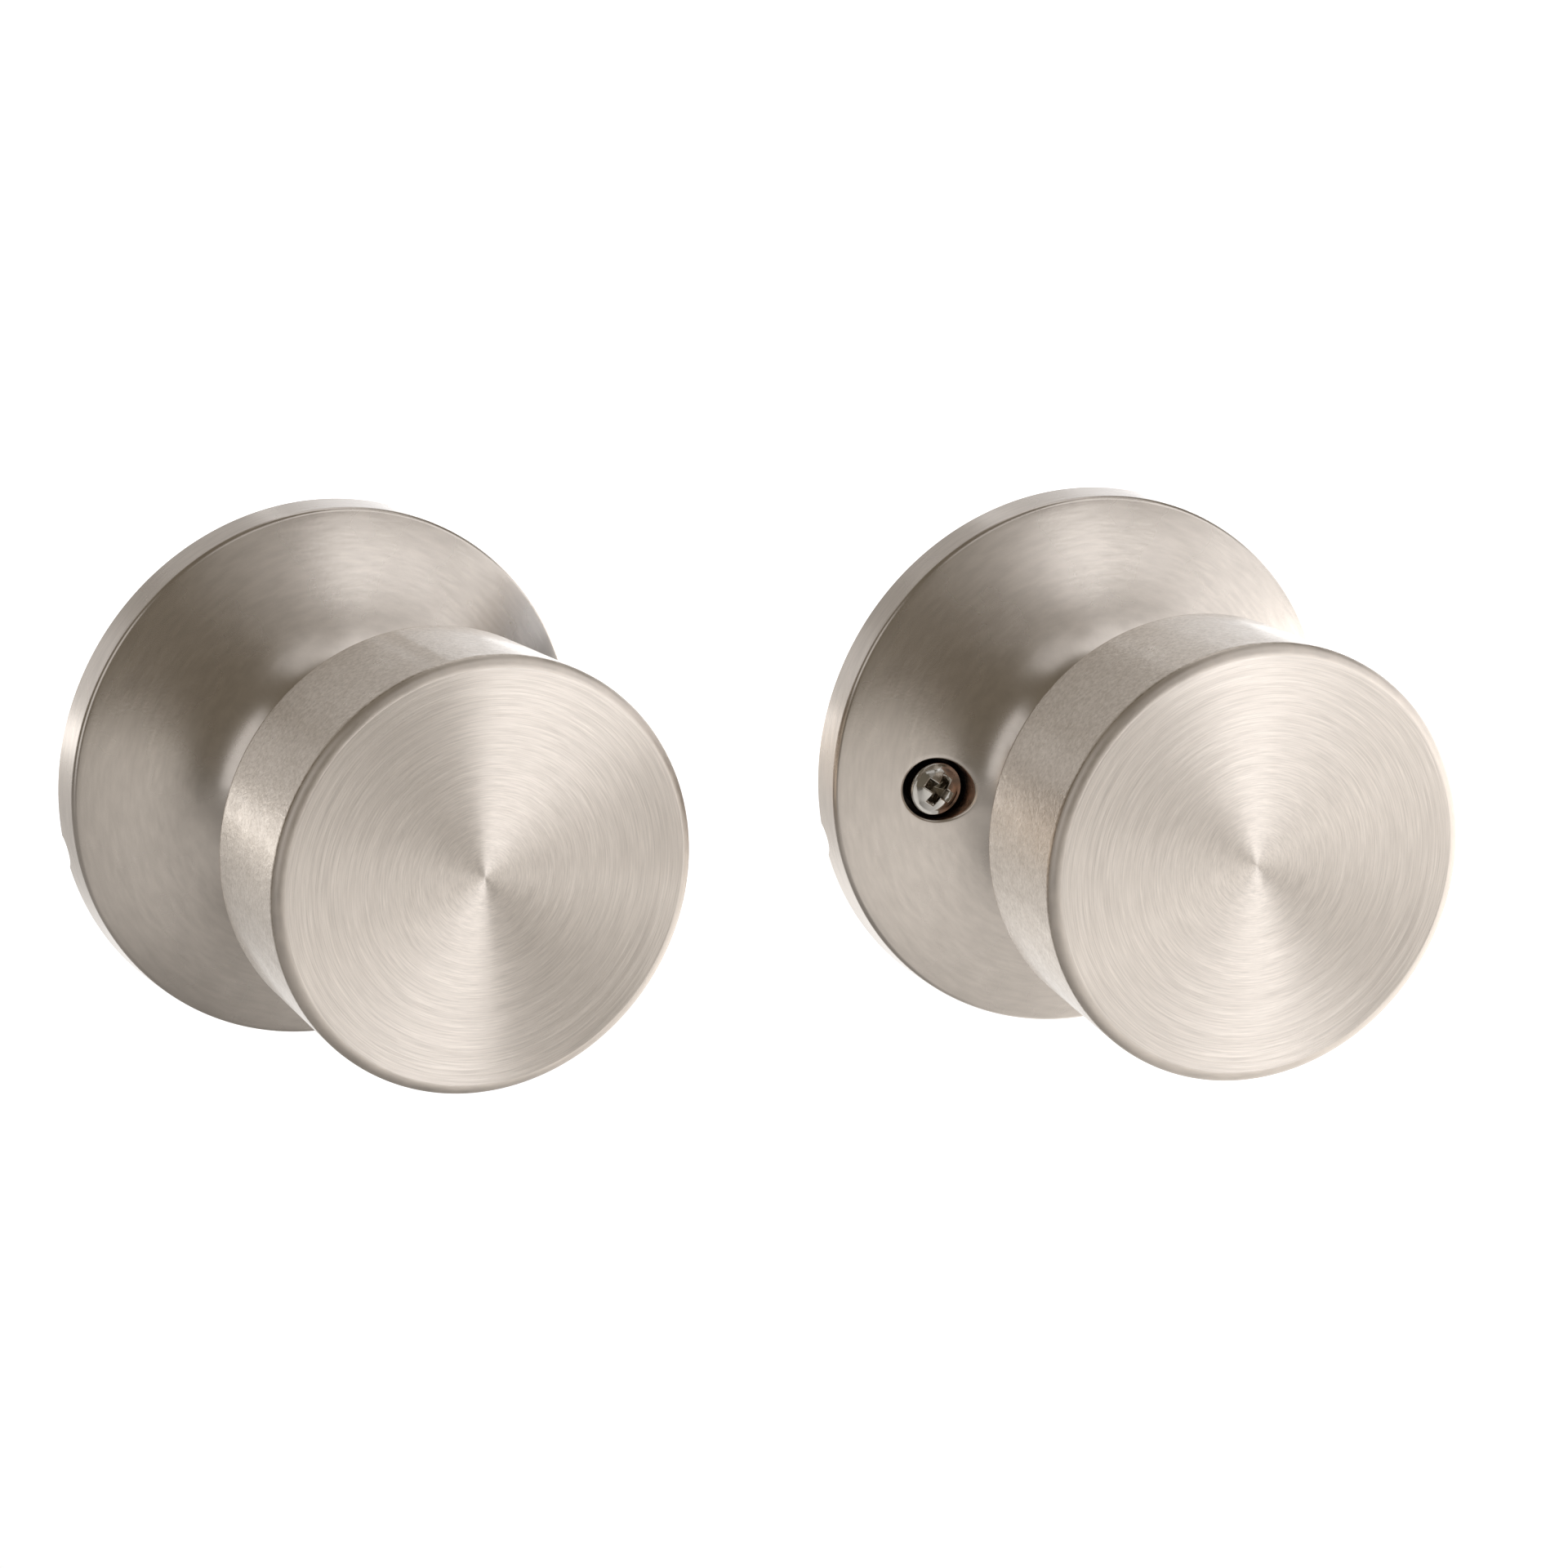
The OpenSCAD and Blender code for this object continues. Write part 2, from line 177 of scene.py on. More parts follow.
def cubic(p, ts):
    """Points at the parameters ts of a cubic curve from p[0] to p[3], pulled towards p[1] and p[2]."""
    p = np.array(p, dtype=float)
    t = np.asarray(ts, dtype=float)[:, None]
    u = 1 - t
    return u ** 3 * p[0] + 3 * u * u * t * p[1] + 3 * u * t * t * p[2] + t ** 3 * p[3]


def polar(r, a, z):
    """The point at radius r and angle a round the local z axis."""
    return (r * math.cos(a), r * math.sin(a), z)


def tidy(points):
    """The points without any that repeat the one before."""
    out = []
    for p in points:
        if not out or math.dist(p, out[-1]) > 1e-4:
            out.append((float(p[0]), float(p[1])))
    return out


# ---- Meshes ----

def half_matrix(side):
    """Where a half's local frame is: its rose's centre, with z out from the door."""
    low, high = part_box(side + "_rose")
    centre = Vector(((low[0] + high[0]) / 2, high[1], (low[2] + high[2]) / 2))
    return Matrix.Translation(centre) @ Matrix.Rotation(math.pi / 2, 4, "X")


def make_object(name, verts, faces, materials, slots=None, sharp=35):
    """A smooth-shaded mesh object from local points in millimetres."""
    mesh = bpy.data.meshes.new(name)
    mesh.from_pydata([(x * MM, y * MM, z * MM) for x, y, z in verts], [], faces)
    for material in materials:
        mesh.materials.append(material)
    if slots is not None:
        mesh.polygons.foreach_set("material_index", slots)
    bm = bmesh.new()
    bm.from_mesh(mesh)
    bmesh.ops.recalc_face_normals(bm, faces=bm.faces)
    bm.to_mesh(mesh)
    bm.free()
    mesh.shade_smooth()
    mesh.set_sharp_from_angle(angle=math.radians(sharp))
    obj = bpy.data.objects.new(name, mesh)
    bpy.context.collection.objects.link(obj)
    return obj


def place(obj, side, body, node):
    """Puts a local piece in the shared frame, on its body, in place of its CAD node."""
    obj.matrix_world = half_matrix(side)
    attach(obj, body)
    if node:
        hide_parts(node)


def lathe(name, profile, materials, slot_at=None, turns=TURNS, wave=None):
    """A solid turned about the local z axis from a profile of (radius, z) points."""
    profile = tidy(profile)
    verts = []
    rings = []
    for r, z in profile:
        if r < 1e-6:
            rings.append([len(verts)] * turns)
            verts.append((0, 0, z))
            continue
        rings.append(list(range(len(verts), len(verts) + turns)))
        for j in range(turns):
            a = 2 * math.pi * j / turns
            verts.append(polar(r, a, z + (wave(a) if wave else 0)))
    on_axis = profile[0][0] < 1e-6 and profile[-1][0] < 1e-6
    faces = []
    slots = []
    for i in range(len(profile) - 1 if on_axis else len(profile)):
        k = (i + 1) % len(profile)
        middle = ((profile[i][0] + profile[k][0]) / 2, (profile[i][1] + profile[k][1]) / 2)
        slot = slot_at(*middle) if slot_at else 0
        for j in range(turns):
            n = (j + 1) % turns
            corners = [rings[i][j], rings[i][n], rings[k][n], rings[k][j]]
            faces.append(list(dict.fromkeys(corners)))
            slots.append(slot)
    return make_object(name, verts, faces, materials, slots)


# ---- Rose ----

RIM_CENTRE = (ROSE_R - RIM_EDGE_R, RIM_H - RIM_EDGE_R)
BELL_START = arc(RIM_CENTRE, RIM_EDGE_R, RIM_SLOPE, RIM_SLOPE, 1)[0]
BELL = [BELL_START, (23.4, 9.3), (13.9, 10.4), (THROAT_R, THROAT_Z - THROAT_EDGE_R)]
HOLLOW = [(LEDGE_R, 4.4), (22.76, 7.828), (12.492, 9.792), (ROSE_HOLE_R, 19.0)]

# The patch of wall that a screw hole replaces: its rows' radii, and half the angle that it spans
PATCH_R = np.linspace(28.6, 14.9, 22)
PATCH_HALF = math.radians(20)


class Surface:
    """One side of the rose's wall, as a cubic profile that can be read by radius."""

    def __init__(self, points):
        self.points = points
        self.ts = np.linspace(0, 1, 600)
        self.curve = cubic(points, self.ts)

    def t_at(self, r):
        """The curve's parameter at a radius."""
        return np.interp(-np.asarray(r), -self.curve[:, 0], self.ts)

    def height(self, r):
        """The wall's height at a radius."""
        return float(cubic(self.points, [self.t_at(r)])[0][1])

    def profile(self):
        """Points from the rim to the throat, with the patch radii in the middle."""
        first, last = self.t_at(PATCH_R[0]), self.t_at(PATCH_R[-1])
        outer = cubic(self.points, np.linspace(0, first, 8))[:-1]
        middle = cubic(self.points, self.t_at(PATCH_R))
        inner = cubic(self.points, np.linspace(last, 1, 18))[1:]
        return [tuple(p) for p in np.vstack([outer, middle, inner])], len(outer)


def rose_profile(bell, hollow):
    """The closed profile of the rose's wall, where each side's patch radii start, and the hollow's rows."""
    out_points, out_start = bell.profile()
    in_points, in_start = hollow.profile()
    rim = line((ROSE_R, 0.0), (ROSE_R, RIM_CENTRE[1]), 8)
    rim[0] = (ROSE_R, 0.15)
    rim += arc(RIM_CENTRE, RIM_EDGE_R, 0, RIM_SLOPE, 8)[1:-1]
    throat = arc((THROAT_R - THROAT_EDGE_R, THROAT_Z - THROAT_EDGE_R), THROAT_EDGE_R, 0, 90, 8)[1:]
    lip = arc((ROSE_HOLE_R + 0.2, THROAT_Z - 0.2), 0.2, 90, 180, 4) + [(ROSE_HOLE_R, THROAT_Z - 1)]
    back_in = list(reversed(in_points))
    pocket = [(LEDGE_R, PLATE_TOP_Z), (POCKET_R, PLATE_TOP_Z), (POCKET_R, 1.2), (POCKET_R, 0.2),
              (POCKET_R + 0.2, 0.0), (ROSE_R - 0.15, 0.0), (ROSE_R - 0.04, 0.04)]
    front = rim + out_points + throat + lip
    first_out = len(rim) + out_start
    first_in = len(front) + len(back_in) - in_start - len(PATCH_R)
    hollow_rows = range(len(front), len(front) + len(back_in) + 1)
    return front + back_in + pocket, first_out, first_in, hollow_rows


def rose_angles():
    """Angles round the rose, closer together at the prying notch."""
    even = [2 * math.pi * j / TURNS for j in range(TURNS)]
    half = math.asin(math.sqrt(NOTCH_BLADE_R ** 2 - (NOTCH_BLADE_R - NOTCH_DEPTH) ** 2) / ROSE_R)
    fine = [NOTCH_ANGLE + half * t for t in np.linspace(-1, 1, 25)]
    fine += [NOTCH_ANGLE - half * 1.04, NOTCH_ANGLE + half * 1.04]
    kept = [a for a in even if abs(a - NOTCH_ANGLE) > half * 1.06]
    return sorted(kept + fine)


def notch_lift(r, z, a):
    """Raises the back edge of the rim where the notch is."""
    if r < POCKET_R - 0.1 or z > RIM_CENTRE[1]:
        return z
    across = r * math.sin(a - NOTCH_ANGLE)
    if abs(across) >= NOTCH_BLADE_R or math.cos(a - NOTCH_ANGLE) < 0:
        return z
    lift = max(0.0, math.sqrt(NOTCH_BLADE_R ** 2 - across ** 2) - NOTCH_BLADE_R + NOTCH_DEPTH)
    top = PLATE_TOP_Z if r < POCKET_R + 0.1 else RIM_CENTRE[1]
    return z + lift * max(0.0, 1 - z / top)


def patch_border(grid, angles, first, centre_angle):
    """The grid vertices round the square that a screw hole takes out, in order."""
    def off(a):
        return (a - centre_angle + math.pi) % (2 * math.pi) - math.pi
    cols = [j for j, a in enumerate(angles) if abs(off(a)) < PATCH_HALF]
    cols.sort(key=lambda j: off(angles[j]))
    last = first + len(PATCH_R) - 1
    border = [grid[first][j] for j in cols]
    border += [grid[i][cols[-1]] for i in range(first + 1, last + 1)]
    border += [grid[last][j] for j in reversed(cols[:-1])]
    border += [grid[i][cols[0]] for i in range(last - 1, first, -1)]
    cells = {(i, cols[k]) for i in range(first, last) for k in range(len(cols) - 1)}
    return border, cells


def match_border(verts, outer, inner):
    """The inner border's vertices in the order of the outer border's, which lie over them."""
    found = {}
    for v in inner:
        found[(round(verts[v][0], 2), round(verts[v][1], 2))] = v
    out = []
    for v in outer:
        near = found.get((round(verts[v][0], 2), round(verts[v][1], 2)))
        if near is None:
            near = min(inner, key=lambda w: math.dist(verts[w][:2], verts[v][:2]))
        out.append(near)
    return out


def bridge(faces, slots, ring, previous, slot):
    """Joins two closed rings of vertices with a band of faces."""
    count = len(ring)
    for k in range(count):
        n = (k + 1) % count
        faces.append([previous[k], previous[n], ring[n], ring[k]])
        slots.append(slot)


def add_screw_hole(verts, faces, slots, bell, hollow, outer, inner, x):
    """A counterbored boss between the two patch borders, as one run of rings."""
    spots = [(verts[v][0] - x, verts[v][1]) for v in outer]
    turn = [math.atan2(p[1], p[0]) for p in spots]

    def ring(points):
        """Adds a ring of vertices."""
        start = len(verts)
        verts.extend(points)
        return list(range(start, start + len(points)))

    def circle(r, z_of):
        """A round ring about the screw's axis, at a height given by position."""
        out = []
        for a in turn:
            px, py = x + r * math.cos(a), r * math.sin(a)
            out.append((px, py, z_of(px, py)))
        return ring(out)

    def spread(r, t, surface):
        """A ring on the wall, part of the way from the patch's border to a circle."""
        out = []
        for (bx, by), a in zip(spots, turn):
            px = x + bx + (r * math.cos(a) - bx) * t
            py = by + (r * math.sin(a) - by) * t
            out.append((px, py, surface.height(math.hypot(px, py))))
        return ring(out)

    def lip(depth):
        """Heights this far below the outer surface."""
        return lambda px, py: bell.height(math.hypot(px, py)) - depth

    def wall(t):
        """Heights part of the way down the counterbore."""
        def z_of(px, py):
            top = lip(LIP_DEPTH)(px, py)
            return top + (GAP_Z - top) * t
        return z_of

    def flat(z):
        return lambda px, py: z

    def under(t):
        """Heights part of the way from the boss's end up to the hollow side."""
        def z_of(px, py):
            return PLATE_TOP_Z + (hollow.height(math.hypot(px, py)) - PLATE_TOP_Z) * t
        return z_of

    mouth = COUNTERBORE_R + 0.36
    steps = [(spread(mouth, t, bell), BELL_SLOT) for t in (0.15, 0.32, 0.5, 0.66, 0.8, 0.91, 1.0)]
    steps += [(circle(COUNTERBORE_R + 0.2, lip(0.03)), BELL_SLOT)]
    steps += [(circle(COUNTERBORE_R + 0.08, lip(0.12)), BELL_SLOT)]
    steps += [(circle(COUNTERBORE_R + 0.02, lip(0.24)), BELL_SLOT)]
    steps += [(circle(COUNTERBORE_R, lip(LIP_DEPTH)), COPPER_SLOT)]
    steps += [(circle(COUNTERBORE_R, wall(t)), COPPER_SLOT) for t in (0.2, 0.4)]
    # Below the copper band, the counterbore wall, its floor and the screw hole are near black: painted
    # shade.
    steps += [(circle(COUNTERBORE_R, wall(t)), HOLE_SHADE_SLOT) for t in (0.6, 0.8, 1.0)]
    steps += [(circle(r, flat(GAP_Z)), HOLE_SHADE_SLOT) for r in (COUNTERBORE_R - 0.3, PAD_R + 0.2, PAD_R)]
    steps += [(circle(PAD_R, flat(z)), HOLE_SHADE_SLOT) for z in (6.3, 7.1, SEAT_Z)]
    steps += [(circle(r, flat(SEAT_Z)), HOLE_SHADE_SLOT) for r in (2.7, SCREW_HOLE_R)]
    steps += [(circle(SCREW_HOLE_R, flat(z)), HOLE_SHADE_SLOT) for z in (6.0, 4.2, PLATE_TOP_Z)]
    steps += [(circle(r, flat(PLATE_TOP_Z)), INSIDE_SLOT) for r in (3.4, 4.5, BOSS_R)]
    steps += [(circle(BOSS_R, under(t)), INSIDE_SLOT) for t in (0.25, 0.5, 0.75, 1.0)]
    steps += [(spread(BOSS_R, t, hollow), INSIDE_SLOT) for t in (0.8, 0.6, 0.4, 0.2)]
    previous = outer
    for step, slot in steps:
        bridge(faces, slots, step, previous, slot)
        previous = step
    bridge(faces, slots, inner, previous, INSIDE_SLOT)


def make_rose(name, holes, materials):
    """The rose, with a notch in its rim and a counterbored boss at each of the holes."""
    bell, hollow = Surface(BELL), Surface(HOLLOW)
    profile, first_out, first_in, hollow_rows = rose_profile(bell, hollow)
    angles = rose_angles()
    verts = []
    grid = []
    for r, z in profile:
        grid.append(list(range(len(verts), len(verts) + len(angles))))
        verts += [polar(r, a, notch_lift(r, z, a)) for a in angles]
    faces = []
    slots = []
    skipped = set()
    for x in holes:
        toward = 0.0 if x > 0 else math.pi
        outer, out_cells = patch_border(grid, angles, first_out, toward)
        inner, in_cells = patch_border(grid, angles, first_in, toward)
        inner = match_border(verts, outer, inner)
        skipped |= out_cells | in_cells
        add_screw_hole(verts, faces, slots, bell, hollow, outer, inner, x)
    for i in range(len(profile)):
        k = (i + 1) % len(profile)
        for j in range(len(angles)):
            n = (j + 1) % len(angles)
            if (i, j) in skipped:
                continue
            faces.append([grid[i][j], grid[i][n], grid[k][n], grid[k][j]])
            slots.append(INSIDE_SLOT if i in hollow_rows else BELL_SLOT)
    return make_object(name, verts, faces, materials, slots)


# ---- Knob ----

def knob_shell_profile():
    """The drawn shell: face, front edge, side, back edge, hem, and the hollow behind them."""
    front = (KNOB_FRONT_R - FRONT_EDGE_R, KNOB_FACE_Z - FRONT_EDGE_R)
    back = (KNOB_BACK_R - BACK_EDGE_R, KNOB_BACK_Z + BACK_EDGE_R)
    front_arc = arc(front, FRONT_EDGE_R, 90, -TAPER, 14)
    back_arc = arc(back, BACK_EDGE_R, -TAPER, -90, 10)
    face = line((0.0, KNOB_FACE_Z), front_arc[0], 24)
    side = line(front_arc[-1], back_arc[0], 16)
    hem = line(back_arc[-1], (LIP_R + 0.1, KNOB_BACK_Z), 3)
    hollow = [(LIP_R, KNOB_BACK_Z + 0.1), (LIP_R, FLANGE_Z), (KNOB_BACK_R - 1, FLANGE_Z)]
    corner = (SHELL_R - SHELL_EDGE_R, SHELL_TOP_Z - SHELL_EDGE_R)
    hollow += line((KNOB_BACK_R - 1, FLANGE_Z), (SHELL_R, corner[1]), 6)
    hollow += arc(corner, SHELL_EDGE_R, 0, 90, 5) + line((corner[0], SHELL_TOP_Z), (0.0, SHELL_TOP_Z), 6)
    return face + front_arc + side + back_arc + hem + hollow


def knob_slot(r, z):
    """The material slot of the band of the shell whose profile runs through this point."""
    if z > KNOB_FACE_Z - 0.02:
        return FACE_SLOT
    if z > SHELL_TOP_Z + 0.1:
        return EDGE_SLOT
    if r < KNOB_BACK_R - 0.9 and z > KNOB_BACK_Z + 0.5:
        return HOLLOW_SLOT
    return SIDE_SLOT


def back_curve(inset):
    """The flare from the neck out to the shell, moved in by the wall's thickness for its inner side."""
    neck, flare_z = NECK_R - inset, FLANGE_Z + inset
    points = [(neck, NECK_FLARE_Z), (neck, 29.0), (NECK_R + 4, flare_z - 2.4), (LIP_R - 0.1, flare_z - 0.6)]
    return [tuple(p) for p in cubic(points, np.linspace(0, 1, 23))]


def knob_back_profile():
    """The neck, its flare and the flange that sits in the shell's hem."""
    outer = line((NECK_R, NECK_END_Z + 0.1), (NECK_R, NECK_FLARE_Z), 6) + back_curve(0)[1:]
    seam = [(LIP_R - 0.1, FLANGE_Z), (FLANGE_R, FLANGE_Z)]
    seam += [(FLANGE_R, FLANGE_Z + 1), (LIP_R - 0.6, FLANGE_Z + 1)]
    inner = list(reversed(back_curve(1.0))) + line((NECK_R - 1, NECK_FLARE_Z), (NECK_R - 1, NECK_END_Z), 4)
    return outer + seam + inner + [(NECK_R - 0.1, NECK_END_Z)]


# ---- Screws ----

def dome(r):
    """Height of the screw head's top over its seat."""
    return HEAD_H - DOME_CURVE_R + math.sqrt(DOME_CURVE_R ** 2 - r * r)


def cross_r(a, long_half, wide_half):
    """Distance from the centre to the edge of a cross, in direction a."""
    c, s = abs(math.cos(a)), abs(math.sin(a))
    big, small = max(c, s), min(c, s)
    if small * long_half <= wide_half * big:
        return long_half / big
    return wide_half / small


def cross_angles(long_half, wide_half):
    """Angles round a screw head, with one at each corner of the cross and close pairs beside them."""
    tip = math.atan2(wide_half, long_half)
    marks = []
    for q in range(4):
        base = q * math.pi / 2
        for a in (base - tip, base + tip, base + math.pi / 4):
            marks += [a - 0.018, a, a + 0.018]
        for t in (0.1, 0.25, 0.4, 0.55, 0.7, 0.85, 0.95):
            off = tip + (math.pi / 4 - tip) * t
            marks += [base - off, base + off]
        marks += [base + tip * t for t in (-0.5, 0.0, 0.5)]
    return sorted(a % (2 * math.pi) for a in marks)


def screw_rings(angles, turned):
    """The rings of a screw from the bottom of its recess, over its head, to the flat underside of the head.
    """
    rings = []

    def circle(r, z):
        """A round ring."""
        rings.append([polar(r, a + turned, z) for a in angles])

    def cross(halves, z_of):
        """A ring shaped as a cross, from half an arm's length and width."""
        radii = [cross_r(a, *halves) for a in angles]
        rings.append([polar(r, a + turned, z_of(r)) for r, a in zip(radii, angles)])

    floor = HEAD_H - RECESS_DEPTH
    circle(0.12, floor - 0.35)
    circle(0.3, floor - 0.22)
    cross((1.15, 0.46), lambda r: floor + 0.04)
    cross((1.35, 0.50), lambda r: floor + 0.35)
    cross((1.62, 0.55), lambda r: floor + 0.8)
    cross((1.93, 0.62), lambda r: dome(r) - 0.14)
    cross((1.99, 0.66), lambda r: dome(r) - 0.05)
    cross(CROSS_EDGE, dome)
    cross(CROSS_RIM, dome)
    for t in (0.25, 0.5, 0.75, 0.9):
        starts = [cross_r(a, *CROSS_RIM) for a in angles]
        radii = [start + (DOME_R - start) * t for start in starts]
        rings.append([polar(r, a + turned, dome(r)) for r, a in zip(radii, angles)])
    slope = math.degrees(math.asin(DOME_R / DOME_CURVE_R))
    for r, z in arc((HEAD_R - HEAD_EDGE_R, dome(DOME_R) - 0.2), HEAD_EDGE_R, 90 - slope * 0.6, 0, 6):
        circle(r, z)
    for r, z in ((HEAD_R, 0.5), (HEAD_R, 0.12), (HEAD_R - 0.12, 0.0), (2.6, 0.0), (SCREW_PLAIN_R, 0.0)):
        circle(r, z)
    return [[(x, y, z + SEAT_Z) for x, y, z in ring] for ring in rings]


def thread_r(a, z):
    """Radius of the helical thread, which fades in at its start and tapers at the tip."""
    root = THREAD_R - THREAD_DEPTH
    crest = (0.5 + 0.5 * math.cos(2 * math.pi * z / THREAD_PITCH + a)) ** 0.8
    fade = min(1.0, max(0.0, THREAD_START_Z - z))
    point = min(1.0, max(0.0, (z - TIP_Z) / 1.2))
    base = SCREW_PLAIN_R + (root - SCREW_PLAIN_R) * fade
    return min(THREAD_R, (base + THREAD_DEPTH * crest * fade) * (0.66 + 0.34 * point))


def thread_rings(angles, turned):
    """The plain neck and the helical thread, from under the head down to the tip."""
    rings = [[polar(SCREW_PLAIN_R, a + turned, z) for a in angles] for z in (SEAT_Z - 0.3, 5.0, 2.0, -0.8)]
    end = TIP_Z + 0.02
    rows = int((THREAD_START_Z - end) / THREAD_PITCH * ROWS_PER_PITCH)
    for i in range(rows + 1):
        z = THREAD_START_Z + (end - THREAD_START_Z) * i / rows
        rings.append([polar(thread_r(a, z), a + turned, z) for a in angles])
    return rings


def make_screw(name, x, turned, materials):
    """A whole screw at this x, with its cross turned by this angle."""
    angles = cross_angles(*CROSS_EDGE)
    rings = screw_rings(angles, turned) + thread_rings(angles, turned)
    verts = [(0.0, 0.0, rings[0][0][2] - 0.05)]
    verts += [p for ring in rings for p in ring]
    count = len(angles)
    faces = [[0, 1 + j, 1 + (j + 1) % count] for j in range(count)]
    for i in range(len(rings) - 1):
        a, b = 1 + i * count, 1 + (i + 1) * count
        for j in range(count):
            n = (j + 1) % count
            faces.append([a + j, a + n, b + n, b + j])
    last = 1 + (len(rings) - 1) * count
    verts.append((0.0, 0.0, TIP_Z))
    faces += [[last + j, last + (j + 1) % count, len(verts) - 1] for j in range(count)]
    verts = [(px + x, py, pz) for px, py, pz in verts]
    # The recess rings get the dark brown colour of painted shade.
    in_recess = count * RECESS_RINGS
    slots = [RECESS_SHADE_SLOT if i < in_recess else HEAD_SLOT for i in range(len(faces))]
    return make_object(name, verts, faces, materials, slots, sharp=42)


# ---- Spring and washer ----

def spring_path():
    """Centre line of the torsion spring: a leg, the coil and a leg."""
    lower, upper = 90 + LEG_ANGLE, 270 - LEG_ANGLE
    turn = 3 * 360 + upper - lower
    path = []

    def on_coil(a, z):
        return np.array((COIL_R * math.cos(a), COIL_R * math.sin(a), z))

    def along(a):
        return np.array((-math.sin(a), math.cos(a), 0.0))

    low, high = math.radians(lower), math.radians(upper)
    for t in np.linspace(1, 0, 10)[:-1]:
        path.append((on_coil(low, COIL_Z) - LEG_LENGTH * t * along(low), low))
    for t in np.linspace(0, 1, 240):
        a = low + math.radians(turn) * t
        path.append((on_coil(a, COIL_Z + (COIL_TOP_Z - COIL_Z) * t), a))
    for t in np.linspace(0, 1, 10)[1:]:
        path.append((on_coil(high, COIL_TOP_Z) + LEG_LENGTH * t * along(high), high))
    return path


def make_spring(name, material):
    """Round wire along the spring's path."""
    path = spring_path()
    verts = []
    for p, a in path:
        across = np.array((math.cos(a), math.sin(a), 0.0))
        for k in range(WIRE_SIDES):
            b = 2 * math.pi * k / WIRE_SIDES
            q = p + WIRE_R * (math.cos(b) * across + math.sin(b) * np.array((0, 0, 1.0)))
            verts.append(tuple(float(c) for c in q))
    rings = [[i * WIRE_SIDES + k for k in range(WIRE_SIDES)] for i in range(len(path))]
    faces = []
    for here, there in zip(rings, rings[1:]):
        for k in range(WIRE_SIDES):
            n = (k + 1) % WIRE_SIDES
            faces.append([here[k], here[n], there[n], there[k]])
    faces += [rings[0], rings[-1][::-1]]
    return make_object(name, verts, faces, [material])


def washer_profile():
    """The washer's thin flat section, with round edges."""
    near, far = WASHER_HOLE_R + WASHER_HALF, WASHER_R - WASHER_HALF
    low, high = WASHER_Z - WASHER_HALF, WASHER_Z + WASHER_HALF
    outer = arc((far, WASHER_Z), WASHER_HALF, -90, 90, 6)
    inner = arc((near, WASHER_Z), WASHER_HALF, 90, 270, 6)
    return outer + line((far, high), (near, high), 4) + inner + line((near, low), (far, low), 4)


def washer_wave(a):
    """Height of the washer's three waves."""
    return WASHER_WAVE * math.sin(3 * a)


# ---- Materials ----

# A noise texture rarely leaves this range
NOISE_LOW = 0.3
NOISE_HIGH = 0.7


